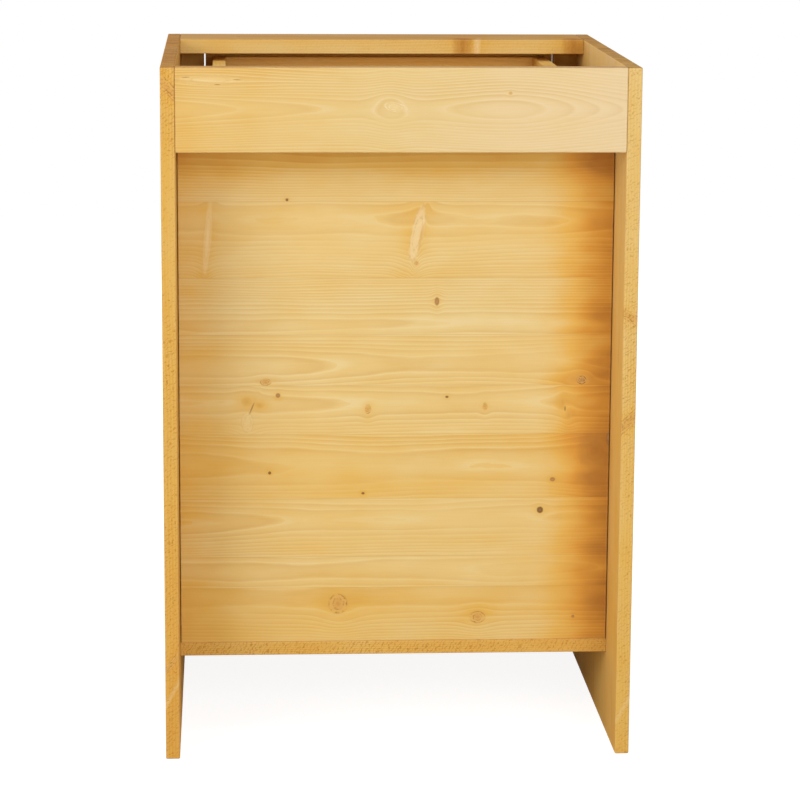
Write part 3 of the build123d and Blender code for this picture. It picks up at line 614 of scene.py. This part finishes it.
RIGHT_PANEL_KNOTS = (
    Knot(0.865, rear_edge - 0.0015, 0.010, 0.0035, "red", 0.0, 1.0),
    Knot(0.128, rear_edge - 0.0015, 0.006, 0.0035, "red", 0.0, -1.2),
    Knot(0.087, rear_edge - 0.0005, 0.006, 0.0025, "faint", 0.0, -1.8),
)
FRONT_RAIL_KNOTS = (
    Knot(-0.112, -0.172, 0.014, 0.030, "soak"),
    Knot(-0.133, -0.172, 0.005, 0.030, "pale", 0.2),
    Knot(-0.268, -0.172, 0.016, 0.030, "soak"),
)
RAIL_CRESTS = (Crest(-0.147, 0.115, 0.0085), Crest(0.015, 0.022, 0.003))

BOARDS = {
    "right_side_panel": Board(
        "z",
        "y",
        LAMELLA,
        tone=1.2,
        roughness=0.75,
        gloss=0.08,
        fade=-0.25,
        knots=RIGHT_PANEL_KNOTS,
        shade=0.28,
        sawn=0.9,
        random_knots=6,
    ),
    "left_side_panel": Board(
        "z",
        "y",
        LAMELLA,
        tone=0.85,
        roughness=0.75,
        gloss=0.08,
        fade=-0.25,
        knots=LEFT_PANEL_KNOTS,
        shade=0.13,
        sawn=0.9,
        random_knots=6,
    ),
    "bottom_panel": Board("x", "y", LAMELLA, 0.95, shade=0.08, sawn=0.9, random_knots=5),
    "back_panel": Board(
        "x",
        "z",
        joints=WALL_JOINTS,
        tone=0.40,
        gloss=0.14,
        fall=-0.25,
        # Deeper at the ends and under the rail: partly stain, partly painted shade beside the side panels and
        # under the rail
        end_stain_and_shade=(2.3, 0.45),
        rail_stain_and_shade=1.5,
        lines=0.45,
        knots=WALL_KNOTS,
    ),
    "rear_top_rail": Board(
        "x",
        "z",
        tone=-0.10,
        gloss=0.10,
        # Paler towards the -x end: partly paler wood, partly a painted sheen; shade darkens the whole rail as
        # painted shade
        fade=0.85,
        lines=0.9,
        shade=0.24,
        shaded_top=0.9,
        knots=RAIL_KNOTS,
        crests=RAIL_CRESTS,
        pith=(0.838, rail_low[1] - 0.010),
        tilt=0.03,
        wander=0.45,
    ),
    "front_top_rail": Board(
        "x",
        "y",
        tone=0.55,
        roughness=0.95,
        gloss=0.08,
        # lee deepens the rail towards its upper face as painted shade of its weakly lit top; shade below zero
        # paints it lighter
        lee=0.2,
        shade=-0.1,
        shaded_top=0.9,
        knots=FRONT_RAIL_KNOTS,
    ),
    "middle_rail": Board("x", "y", random_knots=2),
    "plinth_board": Board("x", "z", random_knots=3),
    "right_stile": Board("z", "x", tone=1.3, random_knots=2),
    "left_stile": Board("z", "x", tone=1.3, random_knots=2),
    "shelf": Board("x", "y", LAMELLA, random_knots=5),
    "right_batten": Board("y", "z", random_knots=1),
    "left_batten": Board("y", "z", random_knots=1),
    "drawer_face": Board("x", "z", random_knots=3),
    "drawer_box_front": Board("x", "z", tone=0.85),
    "drawer_right_side": Board("y", "z", tone=0.9, random_knots=1),
    "drawer_left_side": Board("y", "z", tone=0.9, random_knots=1),
    "drawer_back": Board("x", "z", tone=0.9, random_knots=2),
    "door_right_stile": Board("z", "x", random_knots=3),
    "door_left_stile": Board("z", "x", random_knots=3),
    "door_top_rail": Board("x", "z", random_knots=2),
    "door_bottom_rail": Board("x", "z", random_knots=2),
    "door_panel": Board("z", "x", LAMELLA, random_knots=5),
    "drawer_knob": Board("y", "x"),
    "door_knob": Board("y", "x"),
}


# New pieces, each in the place of a plainer solid. The knob's profile is (distance from its base, radius).
KNOB_PROFILE = (
    (0.0012, 0.0100),
    (0.0020, 0.0094),
    (0.0035, 0.0084),
    (0.0050, 0.0079),
    (0.0070, 0.0081),
    (0.0100, 0.0094),
    (0.0130, 0.0114),
    (0.0160, 0.0139),
    (0.0185, 0.0161),
    (0.0200, 0.0170),
    (0.0215, 0.01745),
    (0.0230, 0.0175),
    (0.0245, 0.0173),
    (0.0258, 0.0165),
    (0.0270, 0.0150),
    (0.0276, 0.0132),
    (0.0279, 0.0105),
    (0.0280, 0.0060),
)
KNOB_SIDES = 48
SCREW_SIDES = 24
PIN_SIDES = 24
SMOOTH_ANGLE = radians(35)

# Cross recess: its depth and slot, its span in radii of the head and its bevel in slots
RECESS_DEPTH = 0.0016
RECESS_SLOT = 0.0009
RECESS_SPAN = 1.15
RECESS_BEVEL = 0.2

# Screws and pins: a tip, then a rim of (distance from the top, share of the radius)
SCREW_TIP = 0.0028
SCREW_POINT = 0.2
SHANK_SHARE = 0.5
PAN_HEIGHT = 0.0026
SUNK_HEIGHT = 0.0004
PIN_CHAMFER = 0.0004
PIN_POINT = 0.85
PAN_RIM = ((-PAN_HEIGHT, 1.0), (-0.0010, 1.0), (-0.0004, 0.94), (0.0, 0.78))
SUNK_RIM = ((-SUNK_HEIGHT, 1.0), (-0.0001, 1.0), (0.0, 0.93))
PIN_RIM = ((-0.0006, 1.0), (-0.0002, 0.93), (0.0, 0.75))

# Corners are the same to this many digits of a metre, and lie at one level within this distance
CORNER_DIGITS = 6
LEVEL_WITHIN = 1e-5

PAN_SCREWS = ("drawer_knob_screw", "door_knob_screw")
SCREW_NODES = (
    "batten_screws",
    "cabinet_runner_screws",
    "hinge_frame_screws",
    "catch_screws",
    "drawer_face_screws",
    "drawer_knob_screw",
    "drawer_runner_screws",
    "door_knob_screw",
    "hinge_door_screws",
    "strike_screws",
)


def turned(name, sides, base_radius, profile):
    """A round piece along Z: a disc extruded ring by ring along its profile."""
    bpy.ops.object.select_all(action="DESELECT")
    bpy.ops.mesh.primitive_circle_add(vertices=sides, radius=base_radius, fill_type="NGON")
    piece = bpy.context.object
    piece.name = name
    bpy.ops.object.mode_set(mode="EDIT")
    bpy.ops.mesh.select_all(action="SELECT")
    reached, radius = 0.0, base_radius
    for distance, ring_radius in profile:
        bpy.ops.mesh.extrude_region_move(TRANSFORM_OT_translate={"value": (0, 0, distance - reached)})
        share = ring_radius / radius
        bpy.ops.transform.resize(value=(share, share, 1), center_override=(0, 0, distance))
        reached, radius = distance, ring_radius
    bpy.ops.mesh.select_all(action="SELECT")
    bpy.ops.mesh.normals_make_consistent(inside=False)
    bpy.ops.object.mode_set(mode="OBJECT")
    return piece


def turned_below(name, sides, base_radius, length, profile):
    """A round piece of this length whose top lies at zero, with a profile that counts from there."""
    piece = turned(name, sides, base_radius, [(distance + length, radius) for distance, radius in profile])
    bpy.ops.object.mode_set(mode="EDIT")
    bpy.ops.mesh.select_all(action="SELECT")
    bpy.ops.transform.translate(value=(0, 0, -length))
    bpy.ops.object.mode_set(mode="OBJECT")
    return piece


def cut_cross(piece, radius):
    """A cross recess in the flat top of a turned piece, which lies at zero."""
    for turn in (0, pi / 2):
        bpy.ops.object.select_all(action="DESELECT")
        bpy.ops.mesh.primitive_cube_add(size=1, location=(0, 0, 0))
        blade = bpy.context.object
        bpy.ops.object.mode_set(mode="EDIT")
        blade_size = (radius * RECESS_SPAN, RECESS_SLOT, RECESS_DEPTH * 2)
        bpy.ops.transform.resize(value=blade_size, center_override=(0, 0, 0))
        bpy.ops.mesh.bevel(offset=RECESS_SLOT * RECESS_BEVEL, segments=1)
        bpy.ops.object.mode_set(mode="OBJECT")
        blade.rotation_euler.z = turn
        cut = piece.modifiers.new("recess", "BOOLEAN")
        cut.object = blade
        bpy.ops.object.select_all(action="DESELECT")
        bpy.context.view_layer.objects.active = piece
        bpy.ops.object.modifier_apply(modifier=cut.name)
        bpy.data.objects.remove(blade)


def islands(node):
    """The corners of each separate solid of a CAD node."""
    mesh = frame["nodes"][node].data
    group_of = {}
    for polygon in mesh.polygons:
        places = (mesh.vertices[index].co for index in polygon.vertices)
        corners = [tuple(round(part, CORNER_DIGITS) for part in place) for place in places]
        joined = set(corners)
        for corner in corners:
            joined |= group_of.get(corner, set())
        for corner in joined:
            group_of[corner] = joined
    groups = {id(group): group for group in group_of.values()}
    return [[Vector(corner) for corner in group] for group in groups.values()]


def axis_of(corners):
    """The middle of a fastener's wide end, its direction out of the wood, its length and its radius."""
    low = Vector(min(corner[k] for corner in corners) for k in range(3))
    high = Vector(max(corner[k] for corner in corners) for k in range(3))
    size = high - low
    axis = max(range(3), key=lambda k: size[k])
    across = [k for k in range(3) if k != axis]
    middle = (low + high) / 2

    def spread(level):
        """The least reach of the ring of corners at this end, so that a round piece stays inside."""
        ring = [corner for corner in corners if abs(corner[axis] - level) < LEVEL_WITHIN]
        return min(max(abs(corner[k] - middle[k]) for corner in ring) for k in across)

    wide_high = spread(high[axis]) >= spread(low[axis])
    outward = Vector((0, 0, 0))
    outward[axis] = 1 if wide_high else -1
    middle[axis] = high[axis] if wide_high else low[axis]
    return middle, outward, size[axis], spread(middle[axis])


def placed(template, spots):
    """Copies of a template with its top at each spot, joined to one piece with its place in the mesh."""
    bpy.ops.object.select_all(action="DESELECT")
    for place, outward in spots:
        copy = bpy.data.objects.new(template.name, template.data.copy())
        turn = outward.to_track_quat("Z", "Y").to_matrix().to_4x4()
        copy.data.transform(Matrix.Translation(place) @ turn)
        bpy.context.scene.collection.objects.link(copy)
        copy.select_set(True)
        bpy.context.view_layer.objects.active = copy
    if len(spots) > 1:
        bpy.ops.object.join()
    piece = bpy.context.object
    bpy.ops.object.shade_smooth_by_angle(angle=SMOOTH_ANGLE)
    name = template.name
    bpy.data.objects.remove(template)
    piece.name = name
    return piece


BODY_OF = {node: name for name, body in frame["record"]["behaviour"]["bodies"].items() for node in body}
SLOT_OF = {row["node"]: row["material_slot"] for row in frame["record"]["subparts"]}


def stand_for(piece, node):
    """Puts a new piece in the place of a CAD node."""
    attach(piece, BODY_OF[node])
    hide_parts(node)
    return piece


def make_knob(node):
    low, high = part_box(node)
    base = Vector(((low[0] + high[0]) / 2, high[1], (low[2] + high[2]) / 2))
    knob = turned(f"turned_{node}", KNOB_SIDES, KNOB_PROFILE[0][1], KNOB_PROFILE)
    return stand_for(placed(knob, [(base, Vector((0, -1, 0)))]), node)


def make_screws(node):
    """Screws with a cross recess where the CAD node has its screws: countersunk, or with a pan head."""
    axes = [axis_of(corners) for corners in islands(node)]
    _, _, length, head = axes[0]
    shank = head * SHANK_SHARE
    if node in PAN_SCREWS:
        neck, rim = -PAN_HEIGHT, PAN_RIM
    else:
        neck, rim = shank - head - SUNK_HEIGHT, SUNK_RIM
    profile = [(SCREW_TIP - length, shank), (neck, shank)]
    profile += [(distance, head * share) for distance, share in rim]
    screw = turned_below(f"cross_{node}", SCREW_SIDES, shank * SCREW_POINT, length, profile)
    cut_cross(screw, head)
    return stand_for(placed(screw, [(place, outward) for place, outward, _, _ in axes]), node)


def make_pins(node):
    """Round shelf pins with a rounded end, where the CAD node has its pins."""
    axes = [axis_of(corners) for corners in islands(node)]
    _, _, length, radius = axes[0]
    profile = [(PIN_CHAMFER - length, radius)]
    profile += [(distance, radius * share) for distance, share in PIN_RIM]
    pin = turned_below(f"round_{node}", PIN_SIDES, radius * PIN_POINT, length, profile)
    return stand_for(placed(pin, [(place, outward) for place, outward, _, _ in axes]), node)


REPLACED = {node: make_knob(node) for node in ("drawer_knob", "door_knob")}
REPLACED.update({node: make_screws(node) for node in SCREW_NODES})
REPLACED["shelf_pins"] = make_pins("shelf_pins")


def dress(node, material):
    """Gives a CAD node, or the piece in its place, its material."""
    piece = REPLACED.get(node, frame["nodes"][node])
    if not piece.material_slots:
        piece.data.materials.append(material)
    for slot in piece.material_slots:
        slot.material = material


def simple_finish(name, light, dark, scale, roughness, metallic=0.0, stretch=(1, 1, 1)):
    """A finish whose colour, gloss and surface vary a little: metal, nylon, plastic, plain wood."""
    material, start = new_material(name)
    place, _ = object_place(start)
    stretched = start.node("ShaderNodeVectorMath", {"operation": "MULTIPLY"}, {0: place, 1: stretch})
    fine = stretched.noise(scale, 3.0, 0.6)
    broad = place.noise(18.0, 2.0)
    colour = (fine * 0.9 + broad * 0.6 + 0.5).mix((*light, 1), (*dark, 1))
    roughness = roughness + fine * 0.22 + broad * 0.10
    sockets = {"Metallic": metallic, "Base Color": colour, "Roughness": roughness}
    finish_surface(start, sockets, fine, FINE_BUMP)
    return material


for seed, (node, board) in enumerate(BOARDS.items()):
    dress(node, pine(f"pine_{node}", board, *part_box(node), seed + 3))

FINISHES = {
    "beech": simple_finish(
        "beech_dowel", (0.66, 0.45, 0.26), (0.52, 0.32, 0.16), 300.0, 0.55, stretch=(0.1, 1, 1)
    ),
    "plywood": simple_finish(
        "birch_plywood", (0.72, 0.54, 0.31), (0.60, 0.41, 0.20), 90.0, 0.5, stretch=(0.12, 1, 1)
    ),
    "runner_steel": simple_finish("coated_steel", (0.80, 0.78, 0.72), (0.70, 0.68, 0.61), 400.0, 0.36),
    "roller_nylon": simple_finish("white_nylon", (0.86, 0.86, 0.84), (0.76, 0.75, 0.71), 250.0, 0.42),
    "hinge_brass": simple_finish(
        "satin_brass", (0.80, 0.60, 0.28), (0.62, 0.43, 0.17), 700.0, 0.30, 1.0, (1, 1, 0.06)
    ),
    "screw_steel": simple_finish("zinc_steel", (0.70, 0.69, 0.66), (0.52, 0.51, 0.48), 900.0, 0.32, 1.0),
    "catch_plastic": simple_finish("brown_plastic", (0.25, 0.13, 0.065), (0.19, 0.09, 0.04), 600.0, 0.48),
}
for node, slot in SLOT_OF.items():
    if node not in BOARDS:
        dress(node, FINISHES[slot])


# Studio: a white floor, a white surround, soft lamps behind, above and in front of the cabinet
FLOOR_HALF = 5.0
FLOOR_GLOW = 0.90
FLOOR_SEEN = (0.29, 0.29, 0.29, 1)
FLOOR_PAPER = (0.75, 0.75, 0.75, 1)
AMBIENT = 0.50
CAMERA_PLACE = (0.219, 4.025, 1.194)
CAMERA_HEADING = 176.64
CAMERA_TILT = 79.01
CAMERA_ROLL = 0.34
CAMERA_LENS = 135.0


def seen_directly(start):
    """1 for rays from the camera, mirrors and glass, which should see a white surround."""
    path = start.node("ShaderNodeLightPath")
    glossy, clear = path.other("Is Glossy Ray"), path.other("Is Transmission Ray")
    return path.other("Is Camera Ray").math("MAXIMUM", glossy).math("MAXIMUM", clear)


def white_floor():
    bpy.ops.object.select_all(action="DESELECT")
    bpy.ops.mesh.primitive_plane_add(size=2 * FLOOR_HALF, location=(0, 0, 0))
    floor = bpy.context.object
    floor.name = "studio_floor"
    material, start = new_material("white_floor")
    seen = seen_directly(start)
    shade = start.node("ShaderNodeBsdfDiffuse", None, {"Color": FLOOR_SEEN})
    glow = start.node("ShaderNodeEmission", None, {"Strength": FLOOR_GLOW})
    white = start.node("ShaderNodeAddShader", None, {0: shade, 1: glow})
    paper = start.node("ShaderNodeBsdfDiffuse", None, {"Color": FLOOR_PAPER})
    surface = start.node("ShaderNodeMixShader", None, {0: seen, 1: paper, 2: white})
    start.node("ShaderNodeOutputMaterial", None, {"Surface": surface})
    floor.data.materials.append(material)


def white_surround():
    world = bpy.data.worlds.new("studio")
    bpy.context.scene.world = world
    world.use_nodes = True
    world.node_tree.nodes.clear()
    start = Socket(world.node_tree)
    strength = seen_directly(start) * (1 - AMBIENT) + AMBIENT
    surround = start.node("ShaderNodeBackground", None, {"Color": (1, 1, 1, 1), "Strength": strength})
    start.node("ShaderNodeOutputWorld", None, {"Surface": surround})


def soft_light(name, place, target, size, power):
    lamp = bpy.data.lights.new(name, "AREA")
    lamp.shape = "SQUARE"
    lamp.size = size
    lamp.energy = power
    holder = bpy.data.objects.new(name, lamp)
    holder.location = place
    aim = Vector(target) - Vector(place)
    holder.rotation_euler = aim.to_track_quat("-Z", "Y").to_euler()
    bpy.context.scene.collection.objects.link(holder)


def add_camera():
    camera = bpy.data.cameras.new("photo_view")
    camera.lens = CAMERA_LENS
    holder = bpy.data.objects.new("photo_view", camera)
    turn = (
        Matrix.Rotation(radians(CAMERA_HEADING), 4, "Z")
        @ Matrix.Rotation(radians(CAMERA_TILT), 4, "X")
        @ Matrix.Rotation(radians(CAMERA_ROLL), 4, "Z")
    )
    holder.matrix_world = Matrix.Translation(CAMERA_PLACE) @ turn
    bpy.context.scene.collection.objects.link(holder)
    bpy.context.scene.camera = holder


white_floor()
white_surround()
soft_light("right_softbox", (-1.1, 3.8, 1.6), (0, 0.25, 0.55), size=1.5, power=43)
soft_light("left_softbox", (2.4, 2.6, 1.9), (0, 0.25, 0.5), size=1.8, power=41)
soft_light("top_softbox", (0.3, 0.7, 2.9), (0, 0, 0.8), size=1.2, power=10)
soft_light("front_softbox", (0.9, -3.6, 1.7), (0, -0.25, 0.5), size=2.0, power=58)
add_camera()
bpy.context.scene.view_settings.view_transform = "Standard"
